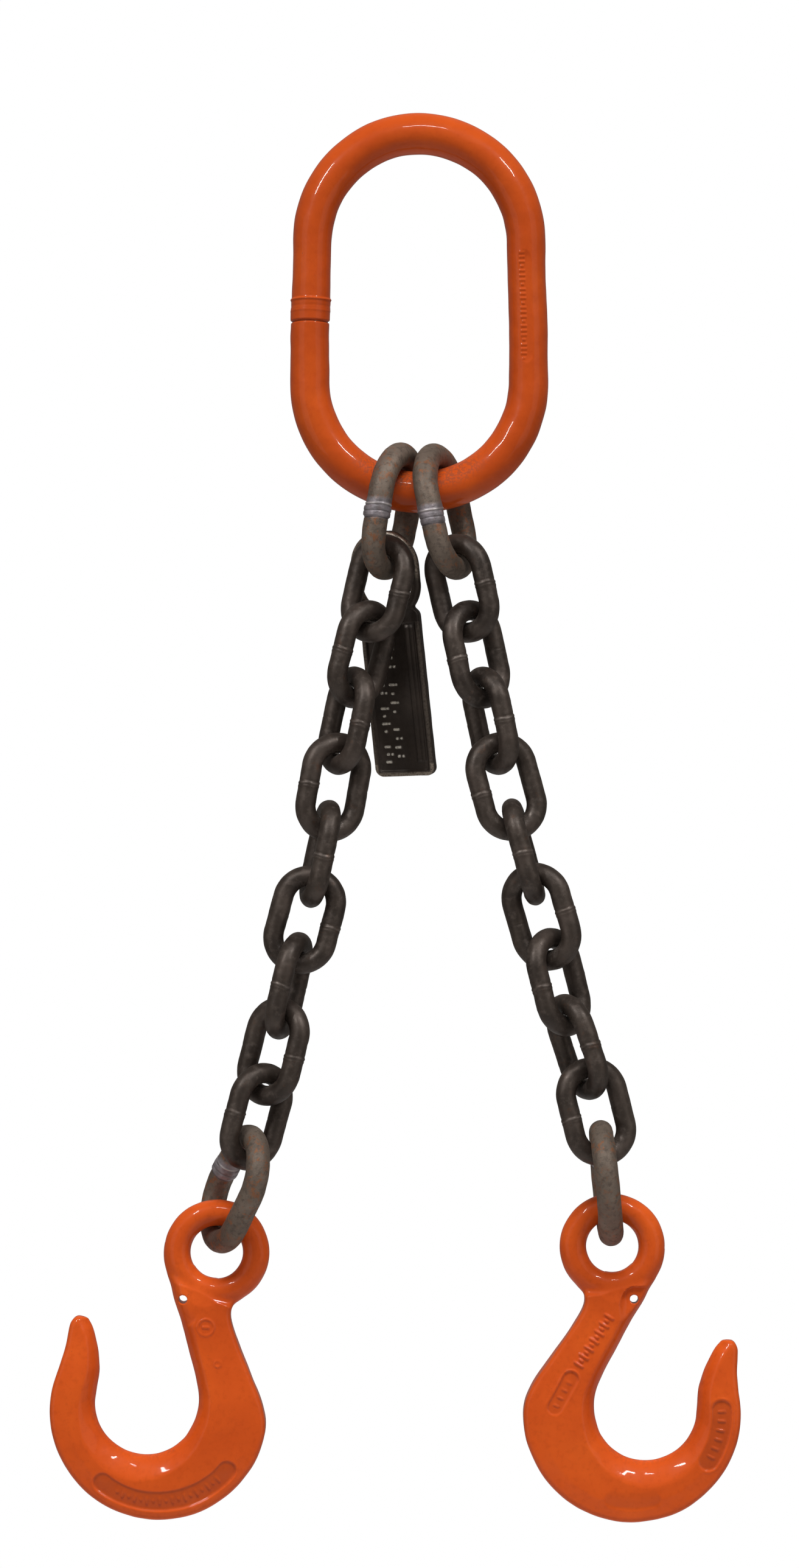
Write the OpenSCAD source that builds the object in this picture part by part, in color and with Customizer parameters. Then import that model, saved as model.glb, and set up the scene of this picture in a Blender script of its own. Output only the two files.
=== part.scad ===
// Two-leg chain sling: an oblong master link, two chain legs on coupling links, two eye hooks
// and an identification tag. Millimetres, +Z up, +Y to the rear. The origin is the point on the
// inside top of the master link where a crane hook bears.

/* [Master link] */
// Diameter of the round bar
master_bar_d = 19; // [17:0.5:20]
// Inside length
master_inner_l = 145; // [130:1:160]
// Inside width
master_inner_w = 81; // [76:1:90]
// Length of the weld collar on the left leg
master_weld_l = 10; // [6:1:14]

/* [Coupling links] */
// Wire diameter
coupling_wire_d = 11.5; // [11:0.5:12.5]
// Inside length
coupling_inner_l = 41; // [40:0.5:44]
// Inside width
coupling_inner_w = 24; // [24:0.5:26]
// Length of the weld band on the front leg
coupling_weld_l = 11; // [6:1:12]

/* [Chain links] */
// Wire diameter
chain_wire_d = 9.5; // [8.5:0.5:9.5]
// Inside length, the pitch of the chain
chain_inner_l = 31.6; // [31:0.1:33]
// Inside width
chain_inner_w = 15; // [15:0.5:16]
// Length of the weld bead
chain_weld_l = 2.4; // [1:0.2:4]

/* [Hooks] */
// Diameter of the hole in the eye
eye_hole_d = 24; // [24:0.5:26]
// Bar diameter of the eye
eye_bar_d = 12.2; // [11:0.1:12.2]
// Depth from the eye's centre to the bowl's centre
bowl_drop = 76.5; // [74:0.5:80]
// Radius of the load seat inside the bowl
bowl_seat_r = 23.5; // [22:0.5:24.5]
// Outside radius of the bowl
bowl_outer_r = 50; // [48:0.5:52]
// Thickness of the bowl, front to rear
bowl_t = 20; // [17:0.5:22]
// Diameter of the latch hole through the neck
latch_hole_d = 4; // [3:0.1:4.5]
// Thickness of the neck between the two latch recesses
latch_web_t = 11.5; // [11:0.5:14]

/* [Identification tag] */
// Width of the plate
tag_w = 30; // [24:1:32]
// Length from the ring's centre to the bottom edge
tag_l = 94; // [80:1:96]
// Thickness of the plate
tag_t = 4; // [3:0.5:4.5]
// Width of the raised rim
tag_rim_w = 2.2; // [1.5:0.1:3]
// Diameter of the ring's wire
tag_ring_d = 4.6; // [4.2:0.2:5]

/* [Hidden] */

// Clearance left between two links that bear on each other
bearing_gap = 0.4;
// Extra clearance for a pair whose planes are not square to each other
skew_gap = 6;
// How far a weld stands proud of the bar, and of the chain wire
weld_proud = 0.7;
bead_proud = 0.25;

// Each leg lists its pieces from the top: coupling, nine chain links, coupling.
// Lean is degrees from plumb towards +X, roll is degrees of the link's plane from the X-Z plane.
// Tilt swings the bottom coupling in its own plane. Bow is where the leg sits on the master link.
LEFT = [-13, -30,
  [-10, -13, -14, -12, -10, -12, -15, -13, -14, -15, -13],
  [68, -32, 44, -58, 24, -80, -2, 74, -35, 38, -67]];
RIGHT = [11, 44,
  [12, 13, 12, 12, 15, 15, 16, 14, 18, 14, 6],
  [68, -30, 42, -60, 14, 86, -24, 48, -61, 15, 90]];
LAST = 10;
// A coupling rolled this far or more shows its other leg to the front
square_roll = 90;
left_hook_lean = -25;
right_hook_lean = 11.5;

// The hook's body as stations of [inner point, outer point, thickness], the tip and the neck,
// with the bowl's stations between them. Points are X and Z from the eye's centre, opening to +X.
TIP = [
  [[40, -53], [45, -54], 8],
  [[37, -54.5], [47, -57], 12],
  [[33, -58.5], [46.5, -61], 15],
  [[28.5, -66], [44, -68], 18]];
NECK = [
  [[-21.5, -66], [-54.5, -64], 19],
  [[-16, -57], [-48, -54], 18],
  [[-8, -47], [-37.5, -44], 17],
  [[1, -36], [-27, -34], 16.5],
  [[9, -27.5], [-18.5, -25], 16],
  [[14.5, -20.5], [-17, -19], 12],
  [[18, -15], [-18, -14.5], 7]];
// How far the bowl's outer circle sits to the back of its seat, and degrees between its stations
bowl_offset = -6.5;
bowl_step = 12;
// Below 1, a station has flatter faces and rounder edges than an ellipse
section_power = 0.65;
latch_at = [5, 0, -25.6];
latch_recess_r = 7;

// The tag hangs by its ring: the ring's centre, the plate's turn about X, Y and Z, and its sizes
tag_at = [-15.3, 12.2, -191.8];
tag_turn = [9, -6, -25];
tag_ring_inner = [24.9, 32.9];
tag_corner_r = 4;
tag_pocket = 0.9;

master_r = (master_inner_w + master_bar_d) / 2;
bow_centre = [0, 0, master_inner_w / 2 - master_inner_l];
eye_r = (eye_hole_d + eye_bar_d) / 2;
round_fn = 48;
sweep_fn = 16;

// --- where each piece hangs ---

function unit(v) = v / norm(v);
function down_dir(lean) = [sin(lean), 0, -cos(lean)];
function side_dir(lean, roll) = cos(roll) * [cos(lean), 0, sin(lean)] + [0, sin(roll), 0];
function in_plane(v, normal) = unit(v - (v * normal) * normal);
function is_coupling(i) = i == 0 || i == LAST;
function wire_d(i) = is_coupling(i) ? coupling_wire_d : chain_wire_d;
function inner_l(i) = is_coupling(i) ? coupling_inner_l : chain_inner_l;
function inner_w(i) = is_coupling(i) ? coupling_inner_w : chain_inner_w;
function end_r(i) = (inner_w(i) + wire_d(i)) / 2;
function tilt(leg, i) = i == LAST ? leg[1] : 0;
function bearing(wire_a, wire_b, normal_a, normal_b) =
  (wire_a + wire_b) / 2 + bearing_gap + skew_gap * (1 - norm(cross(normal_a, normal_b)));

// The piece i of a leg as [centre of its top end, centre of its bottom end, normal of its plane].
function piece(leg, i) =
  let (
    down = down_dir(leg[2][i]),
    side = side_dir(leg[2][i], leg[3][i]),
    normal = cross(side, down),
    along = cos(tilt(leg, i)) * down + sin(tilt(leg, i)) * side,
    above = i == 0 ? [0, bow_centre, [0, 1, 0]] : piece(leg, i - 1),
    above_r = i == 0 ? master_r : end_r(i - 1),
    above_d = i == 0 ? master_bar_d : wire_d(i - 1),
    pull = i == 0 ? down_dir(leg[0]) : down,
    seat = above[1] + above_r * in_plane(pull, above[2]),
    top = seat - bearing(above_d, wire_d(i), above[2], normal) * pull + end_r(i) * down
  )
  [top, top + (inner_l(i) - inner_w(i)) * along, normal];

// The centre of the eye of the hook that hangs under a leg.
function eye_centre(leg) =
  let (
    last = piece(leg, LAST),
    down = down_dir(leg[2][LAST]),
    seat = last[1] + end_r(LAST) * in_plane(down, last[2])
  )
  seat + (eye_r - bearing(coupling_wire_d, eye_bar_d, last[2], [0, 1, 0])) * down;

// --- shared shapes ---

// Half of a round ring of bar, its ends at the X-Y plane and its crown up.
module ring_half(centre_r, bar_d) {
  rotate([90, 0, 0])
    rotate_extrude(angle = 180, $fn = 2 * round_fn)
      translate([centre_r, 0])
        circle(d = bar_d, $fn = round_fn);
}

// A link of round bar with half-round ends, centred on the origin in the X-Z plane.
module oblong(long, wide, bar_d) {
  half = (long - wide) / 2;
  centre_r = (wide + bar_d) / 2;
  for (end = [0, 1])
    mirror([0, 0, end])
      translate([0, 0, half])
        ring_half(centre_r, bar_d);
  for (leg_x = [-centre_r, centre_r])
    translate([leg_x, 0, -half])
      cylinder(h = 2 * half, d = bar_d, $fn = round_fn);
}

// A collar round the leg of a link, low at its edges and full in the middle.
module weld_collar(centre_r, bar_d, long, proud) {
  translate([centre_r, 0, -long / 2]) {
    cylinder(h = long, d = bar_d + proud, $fn = round_fn);
    translate([0, 0, long / 4])
      cylinder(h = long / 2, d = bar_d + 2 * proud, $fn = round_fn);
  }
}

module hang(leg, i) {
  ends = piece(leg, i);
  translate((ends[0] + ends[1]) / 2)
    rotate([0, -leg[2][i], 0])
      rotate([0, 0, leg[3][i]])
        rotate([0, -tilt(leg, i), 0])
          children();
}

// --- the pieces ---

module master_link() {
  color("orangered")
    translate([0, 0, -master_inner_l / 2]) {
      oblong(master_inner_l, master_inner_w, master_bar_d);
      weld_collar(-master_r, master_bar_d, master_weld_l, weld_proud);
    }
}

module coupling(leg, i) {
  color("dimgray")
    hang(leg, i) {
      oblong(coupling_inner_l, coupling_inner_w, coupling_wire_d);
      weld_collar(leg[3][i] >= square_roll ? end_r(i) : -end_r(i),
        coupling_wire_d, coupling_weld_l, weld_proud / 2);
    }
}

module chain_link(leg, i) {
  color([0.16, 0.14, 0.13])
    hang(leg, i) {
      oblong(chain_inner_l, chain_inner_w, chain_wire_d);
      weld_collar(leg[3][i] > 0 ? -end_r(i) : end_r(i), chain_wire_d, chain_weld_l, bead_proud);
    }
}

function bowl_station(a) = [
  bowl_seat_r * [cos(a), -sin(a)] + [0, -bowl_drop],
  bowl_outer_r * [cos(a), -sin(a)] + [bowl_offset, -bowl_drop],
  bowl_t];
hook_stations = concat(TIP, [for (a = [0:bowl_step:180]) bowl_station(a)], NECK);

// A ring of points with flat sides and round edges across one station.
function blunt(v) = sign(v) * pow(abs(v), section_power);
function station_ring(s) =
  let (mid = (s[0] + s[1]) / 2, reach = (s[1] - s[0]) / 2)
  [for (k = [0:sweep_fn - 1])
    let (
      turn = 360 * k / sweep_fn,
      across = mid + reach * blunt(cos(turn))
    )
    [across[0], s[2] / 2 * blunt(sin(turn)), across[1]]];

module sweep(rings) {
  n = len(rings[0]);
  rows = len(rings);
  polyhedron(
    points = [for (r = rings) for (p = r) p],
    faces = concat(
      [[for (k = [n - 1:-1:0]) k]],
      [[for (k = [0:n - 1]) (rows - 1) * n + k]],
      [for (r = [0:rows - 2]) for (k = [0:n - 1])
        let (next = (k + 1) % n)
        each [[r * n + k, r * n + next, (r + 1) * n + next],
              [r * n + k, (r + 1) * n + next, (r + 1) * n + k]]]));
}

module hook() {
  difference() {
    union() {
      rotate([90, 0, 0])
        rotate_extrude($fn = 2 * round_fn)
          translate([eye_r, 0])
            circle(d = eye_bar_d, $fn = round_fn);
      sweep([for (s = hook_stations) station_ring(s)]);
    }
    translate(latch_at)
      rotate([90, 0, 0]) {
        cylinder(h = 2 * bowl_t, d = latch_hole_d, center = true, $fn = round_fn);
        for (face = [0, 1])
          mirror([0, 0, face])
            translate([0, 0, latch_web_t / 2])
              cylinder(h = bowl_t, r = latch_recess_r, $fn = round_fn);
      }
  }
}

module left_hook() {
  color("orangered")
    translate(eye_centre(LEFT))
      rotate([0, -left_hook_lean, 0])
        rotate([0, 0, 180])
          hook();
}

module right_hook() {
  color("orangered")
    translate(eye_centre(RIGHT))
      rotate([0, -right_hook_lean, 0])
        hook();
}

// The plate's outline below its ring, with round bottom corners, drawn in X and Z.
module plate_outline(inset) {
  half = tag_w / 2 - inset;
  top = -(tag_ring_inner[1] + tag_ring_d) / 2 - inset;
  bottom = -tag_l + inset;
  r = tag_corner_r - inset / 2;
  polygon(concat(
    [[half, top]],
    [for (a = [0:-15:-90]) [half - r + r * cos(a), bottom + r + r * sin(a)]],
    [for (a = [-90:-15:-180]) [-half + r + r * cos(a), bottom + r + r * sin(a)]],
    [[-half, top]]));
}

module tag() {
  color([0.2, 0.18, 0.16])
    translate(tag_at)
      rotate([tag_turn[0], tag_turn[1], 0])
        rotate([0, 0, tag_turn[2]]) {
          oblong(tag_ring_inner[1], tag_ring_inner[0], tag_ring_d);
          difference() {
            rotate([90, 0, 0])
              linear_extrude(tag_t, center = true)
                plate_outline(0);
            for (face = [-1, 1])
              translate([0, face * tag_t / 2, 0])
                rotate([90, 0, 0])
                  linear_extrude(2 * tag_pocket, center = true)
                    plate_outline(tag_rim_w);
          }
        }
}

module left_coupling_top() { coupling(LEFT, 0); }
module left_link_1() { chain_link(LEFT, 1); }
module left_link_2() { chain_link(LEFT, 2); }
module left_link_3() { chain_link(LEFT, 3); }
module left_link_4() { chain_link(LEFT, 4); }
module left_link_5() { chain_link(LEFT, 5); }
module left_link_6() { chain_link(LEFT, 6); }
module left_link_7() { chain_link(LEFT, 7); }
module left_link_8() { chain_link(LEFT, 8); }
module left_link_9() { chain_link(LEFT, 9); }
module left_coupling_bottom() { coupling(LEFT, LAST); }
module right_coupling_top() { coupling(RIGHT, 0); }
module right_link_1() { chain_link(RIGHT, 1); }
module right_link_2() { chain_link(RIGHT, 2); }
module right_link_3() { chain_link(RIGHT, 3); }
module right_link_4() { chain_link(RIGHT, 4); }
module right_link_5() { chain_link(RIGHT, 5); }
module right_link_6() { chain_link(RIGHT, 6); }
module right_link_7() { chain_link(RIGHT, 7); }
module right_link_8() { chain_link(RIGHT, 8); }
module right_link_9() { chain_link(RIGHT, 9); }
module right_coupling_bottom() { coupling(RIGHT, LAST); }

master_link();
left_coupling_top();
left_link_1();
left_link_2();
left_link_3();
left_link_4();
left_link_5();
left_link_6();
left_link_7();
left_link_8();
left_link_9();
left_coupling_bottom();
left_hook();
right_coupling_top();
right_link_1();
right_link_2();
right_link_3();
right_link_4();
right_link_5();
right_link_6();
right_link_7();
right_link_8();
right_link_9();
right_coupling_bottom();
right_hook();
tag();
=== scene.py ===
import math

import bpy
import numpy as np
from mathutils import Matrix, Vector


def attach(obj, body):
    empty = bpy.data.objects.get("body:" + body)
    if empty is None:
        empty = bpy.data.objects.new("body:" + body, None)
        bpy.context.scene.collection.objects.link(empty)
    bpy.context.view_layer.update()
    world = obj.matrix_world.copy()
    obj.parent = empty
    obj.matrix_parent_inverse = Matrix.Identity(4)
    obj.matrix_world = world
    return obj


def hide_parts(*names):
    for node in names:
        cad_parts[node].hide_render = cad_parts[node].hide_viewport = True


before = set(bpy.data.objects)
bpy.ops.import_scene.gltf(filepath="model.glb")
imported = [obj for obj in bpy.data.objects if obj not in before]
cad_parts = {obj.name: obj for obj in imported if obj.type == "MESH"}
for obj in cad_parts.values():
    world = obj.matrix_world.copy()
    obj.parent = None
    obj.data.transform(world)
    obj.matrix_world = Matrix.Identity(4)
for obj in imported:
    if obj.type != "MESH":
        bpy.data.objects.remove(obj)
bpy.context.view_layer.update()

MM = 0.001

# ---------------------------------------------------------------------------
# Sizes and layout, as in the CAD source. Millimetres and degrees.
# ---------------------------------------------------------------------------

MASTER = dict(d=19.0, long=145.0, wide=81.0)
COUPLING = dict(d=11.5, long=41.0, wide=24.0)
CHAIN = dict(d=9.5, long=31.6, wide=15.0)
EYE_R = 18.1
EYE_BAR = 12.2
BEARING_GAP = 0.4
SKEW_GAP = 6.0
LAST = 10
LEGS = {
    "left": dict(
        bow=-13,
        tilt=-30,
        leans=[-10, -13, -14, -12, -10, -12, -15, -13, -14, -15, -13],
        rolls=[68, -32, 44, -58, 24, -80, -2, 74, -35, 38, -67],
        hook_lean=-25,
    ),
    "right": dict(
        bow=11,
        tilt=44,
        leans=[12, 13, 12, 12, 15, 15, 16, 14, 18, 14, 6],
        rolls=[68, -30, 42, -60, 14, 86, -24, 48, -61, 15, 90],
        hook_lean=11.5,
    ),
}
TAG_AT = (-15.3, 12.2, -191.8)
TAG_TURN = (9, -6, -25)
TAG = dict(w=30.0, l=94.0, t=4.0, rim=2.2, wire=4.6, ring=(24.9, 32.9), corner=4.0, pocket=0.9)


def turn_x(a):
    c, s = math.cos(math.radians(a)), math.sin(math.radians(a))
    return np.array([[1, 0, 0], [0, c, -s], [0, s, c]])


def turn_y(a):
    c, s = math.cos(math.radians(a)), math.sin(math.radians(a))
    return np.array([[c, 0, s], [0, 1, 0], [-s, 0, c]])


def turn_z(a):
    c, s = math.cos(math.radians(a)), math.sin(math.radians(a))
    return np.array([[c, -s, 0], [s, c, 0], [0, 0, 1]])


def unit(v):
    return v / np.linalg.norm(v)


def down_dir(lean):
    a = math.radians(lean)
    return np.array([math.sin(a), 0, -math.cos(a)])


def side_dir(lean, roll):
    a, b = math.radians(lean), math.radians(roll)
    return math.cos(b) * np.array([math.cos(a), 0, math.sin(a)]) + np.array([0, math.sin(b), 0])


def in_plane(v, normal):
    return unit(v - (v @ normal) * normal)


def end_r(size):
    return (size["wide"] + size["d"]) / 2


def bearing(wire_a, wire_b, normal_a, normal_b):
    skew = 1 - np.linalg.norm(np.cross(normal_a, normal_b))
    return (wire_a + wire_b) / 2 + BEARING_GAP + SKEW_GAP * skew


def lay_out(leg):
    """Where each piece of a leg is: (centre, rotation) from the top down, and its hook's eye."""
    above = (np.array([0, 0, MASTER["wide"] / 2 - MASTER["long"]]), np.array([0.0, 1, 0]), MASTER)
    places = []
    for i, (lean, roll) in enumerate(zip(leg["leans"], leg["rolls"])):
        size = COUPLING if i in (0, LAST) else CHAIN
        tilt = leg["tilt"] if i == LAST else 0
        down, side = down_dir(lean), side_dir(lean, roll)
        normal = np.cross(side, down)
        t = math.radians(tilt)
        along = math.cos(t) * down + math.sin(t) * side
        pull = down_dir(leg["bow"]) if i == 0 else down
        seat = above[0] + end_r(above[2]) * in_plane(pull, above[1])
        top = seat - bearing(above[2]["d"], size["d"], above[1], normal) * pull + end_r(size) * down
        bottom = top + (size["long"] - size["wide"]) * along
        places.append(((top + bottom) / 2, turn_y(-lean) @ turn_z(roll) @ turn_y(-tilt)))
        above = (bottom, normal, size)
    down = down_dir(leg["leans"][LAST])
    seat = above[0] + end_r(COUPLING) * in_plane(down, above[1])
    gap = bearing(COUPLING["d"], EYE_BAR, above[1], np.array([0.0, 1, 0]))
    return places, seat + (EYE_R - gap) * down


# ---------------------------------------------------------------------------
# Mesh helpers
# ---------------------------------------------------------------------------


def smooth(t):
    t = np.clip(t, 0, 1)
    return t * t * (3 - 2 * t)


def ridge(t, width):
    return np.exp(-((t / width) ** 2))


def lumps(p, seed, scale, waves=14):
    """Smooth repeatable noise from -1 to 1 about scale mm across, at points p in mm."""
    rng = np.random.default_rng(seed)
    total = np.zeros(p.shape[:-1])
    for _ in range(waves):
        k = rng.normal(size=3)
        k *= 2 * math.pi / (scale * rng.uniform(0.7, 1.6)) / np.linalg.norm(k)
        total = total + np.sin(p @ k + rng.uniform(0, 2 * math.pi))
    return total / math.sqrt(waves)


def make_piece(name, points, quads, centre, turn, material, attributes):
    """A smooth mesh object from points in mm, in its own frame, with float attributes for its shader."""
    world = (points @ turn.T + centre) * MM
    mesh = bpy.data.meshes.new(name)
    mesh.vertices.add(len(world))
    mesh.vertices.foreach_set("co", world.astype(np.float32).ravel())
    mesh.loops.add(quads.size)
    mesh.loops.foreach_set("vertex_index", quads.astype(np.int32).ravel())
    mesh.polygons.add(len(quads))
    mesh.polygons.foreach_set("loop_start", np.arange(0, quads.size, 4, dtype=np.int32))
    mesh.polygons.foreach_set("use_smooth", np.ones(len(quads), dtype=bool))
    mesh.update(calc_edges=True)
    mesh.validate()
    for key, values in attributes.items():
        layer = mesh.attributes.new(key, "FLOAT", "POINT")
        layer.data.foreach_set("value", np.asarray(values, dtype=np.float32).ravel())
    mesh.materials.append(material)
    piece = bpy.data.objects.new(name, mesh)
    bpy.context.scene.collection.objects.link(piece)
    return piece


def spacing(lo, hi, step):
    return np.linspace(lo, hi, max(2, int(round((hi - lo) / step)) + 1))[:-1]


def stadium(size, leg_steps, arc_step):
    """Stations round a link's bar: centre x, centre z, outward x, outward z."""
    r, half = end_r(size), (size["long"] - size["wide"]) / 2
    out = []
    right, left = leg_steps
    for z in right:
        out.append((r, z, 1.0, 0.0))
    n = max(12, int(math.pi * r / arc_step))
    for a in np.arange(n) * math.pi / n:
        out.append((r * math.cos(a), half + r * math.sin(a), math.cos(a), math.sin(a)))
    for z in -left:
        out.append((-r, z, -1.0, 0.0))
    for a in math.pi + np.arange(n) * math.pi / n:
        out.append((r * math.cos(a), -half + r * math.sin(a), math.cos(a), math.sin(a)))
    return np.array(out)


def bar_ring(size, stations, angles, swell):
    """Sweeps a round bar along the stations. swell(x, z, angle) gives the bar's radius in mm."""
    s, a = stations[:, None, :], angles[None, :]
    shape = (len(stations), len(angles))
    centre_x, centre_z = np.broadcast_to(s[..., 0], shape), np.broadcast_to(s[..., 1], shape)
    nx, nz = np.broadcast_to(s[..., 2], shape), np.broadcast_to(s[..., 3], shape)
    angle = np.broadcast_to(a, shape)
    radius = swell(centre_x, centre_z, angle)
    p = np.stack(
        [
            centre_x + radius * np.cos(angle) * nx,
            radius * np.sin(angle),
            centre_z + radius * np.cos(angle) * nz,
        ],
        axis=-1,
    )
    rows, cols = shape
    i, j = np.meshgrid(np.arange(rows), np.arange(cols), indexing="ij")
    a0 = i * cols + j
    a1 = i * cols + (j + 1) % cols
    b0 = ((i + 1) % rows) * cols + j
    b1 = ((i + 1) % rows) * cols + (j + 1) % cols
    quads = np.stack([a0, a1, b1, b0], axis=-1).reshape(-1, 4)
    return p, quads


def surface_net(field, lo, hi, step, refine):
    """The zero surface of field on a regular grid as points and quads, then pulled onto it exactly.

    field(x, z) returns a function of y, so that the costly plan view is worked out once.
    """
    xs, ys, zs = (np.arange(l, h + step, step) for l, h in zip(lo, hi))
    gx, gz = np.meshgrid(xs, zs, indexing="ij")
    f = field(gx, gz)(ys[:, None, None])  # y, x, z
    f = np.moveaxis(f, 0, 1)  # x, y, z
    nx, ny, nz = f.shape
    inside = f < 0
    total = np.zeros((nx - 1, ny - 1, nz - 1, 3))
    count = np.zeros((nx - 1, ny - 1, nz - 1))
    corners = [(a, b, c) for a in (0, 1) for b in (0, 1) for c in (0, 1)]
    for p in corners:
        for axis in range(3):
            if p[axis]:
                continue
            q = tuple(1 if k == axis else p[k] for k in range(3))
            fp = f[p[0]:nx - 1 + p[0], p[1]:ny - 1 + p[1], p[2]:nz - 1 + p[2]]
            fq = f[q[0]:nx - 1 + q[0], q[1]:ny - 1 + q[1], q[2]:nz - 1 + q[2]]
            cross = (fp < 0) != (fq < 0)
            t = np.where(cross, fp / np.where(cross, fp - fq, 1), 0)
            for k in range(3):
                at = p[k] + (t if k == axis else 0)
                total[..., k] += np.where(cross, at, 0)
            count += cross
    cells = count > 0
    index = -np.ones(cells.shape, dtype=np.int64)
    index[cells] = np.arange(cells.sum())
    where = np.argwhere(cells)
    points = (where + total[cells] / count[cells][:, None]) * step + np.array(lo)
    quads = []
    for axis in range(3):
        a, b = [k for k in range(3) if k != axis]
        head = [slice(1, -1)] * 3
        head[axis] = slice(0, -1)
        tail = list(head)
        tail[axis] = slice(1, None)
        one, two = inside[tuple(head)], inside[tuple(tail)]
        at = np.argwhere(one != two)
        at[:, a] += 1
        at[:, b] += 1
        flip = one[one != two]
        ring = []
        for da, db in ((0, 0), (1, 0), (1, 1), (0, 1)):
            c = at.copy()
            c[:, a] -= da
            c[:, b] -= db
            ring.append(index[c[:, 0], c[:, 1], c[:, 2]])
        q = np.stack(ring, axis=-1)
        turned = flip if axis != 1 else ~flip
        q[turned] = q[turned][:, ::-1]
        quads.append(q)
    quads = np.concatenate(quads)

    def value(p):
        return field(p[:, 0], p[:, 2])(p[:, 1])

    for _ in range(refine):
        h = 0.05
        v = value(points)
        g = np.stack([value(points + h * e) - value(points - h * e) for e in np.eye(3)], axis=-1) / (2 * h)
        move = -(v / np.maximum((g**2).sum(-1), 0.2))[:, None] * g
        points = points + np.clip(move, -step, step)
    return points, quads


def spline(points, per):
    """A Catmull-Rom curve through the points."""
    p = np.array(points, float)
    p = np.vstack([2 * p[0] - p[1], p, 2 * p[-1] - p[-2]])
    out = []
    for i in range(1, len(p) - 2):
        for t in np.arange(per) / per:
            a, b, c, d = p[i - 1:i + 3]
            square, cube = 2 * a - 5 * b + 4 * c - d, 3 * b - a - 3 * c + d
            out.append(0.5 * (2 * b + (c - a) * t + square * t**2 + cube * t**3))
    out.append(p[-2])
    return np.array(out)


def to_line(x, z, line):
    """Distance from points to a polyline."""
    flat = np.stack([np.ravel(x), np.ravel(z)], axis=-1)
    a, b = line[:-1], line[1:]
    d = b - a
    length = np.linalg.norm(d, axis=1)
    best = np.full(len(flat), 1e9)
    for k in range(len(a)):
        w = flat - a[k]
        t = np.clip(w @ d[k] / length[k] ** 2, 0, 1)
        best = np.minimum(best, np.hypot(w[:, 0] - t * d[k, 0], w[:, 1] - t * d[k, 1]))
    return best.reshape(np.shape(x))


def inside_polygon(x, z, ring):
    hit = np.zeros(np.shape(x), dtype=bool)
    for (x0, z0), (x1, z1) in zip(ring, np.roll(ring, -1, axis=0)):
        if z0 == z1:
            continue
        spans = (z0 > z) != (z1 > z)
        hit ^= spans & (x < (x1 - x0) * (z - z0) / (z1 - z0) + x0)
    return hit


def blend_min(a, b, k):
    h = np.maximum(k - np.abs(a - b), 0) / k
    return np.minimum(a, b) - h * h * k / 4


def blend_max(a, b, k):
    return -blend_min(-a, -b, k)


def capsule(x, z, a, b, r):
    """Signed distance in plan to a round-ended slot from a to b."""
    a, b = np.array(a, float), np.array(b, float)
    d = b - a
    t = np.clip(((x - a[0]) * d[0] + (z - a[1]) * d[1]) / (d @ d), 0, 1)
    return np.hypot(x - a[0] - t * d[0], z - a[1] - t * d[1]) - r


def arc_slot(x, z, centre, radius, lo, hi, half):
    """Signed distance in plan to a round-ended curved slot."""
    dx, dz = x - centre[0], z - centre[1]
    mid, sweep = math.radians((lo + hi) / 2), math.radians(hi - lo) / 2
    a = (np.arctan2(dz, dx) - mid + math.pi) % (2 * math.pi) - math.pi
    a = np.clip(a, -sweep, sweep) + mid
    return np.hypot(dx - radius * np.cos(a), dz - radius * np.sin(a)) - half


# ---------------------------------------------------------------------------
# Materials
# ---------------------------------------------------------------------------


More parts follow.
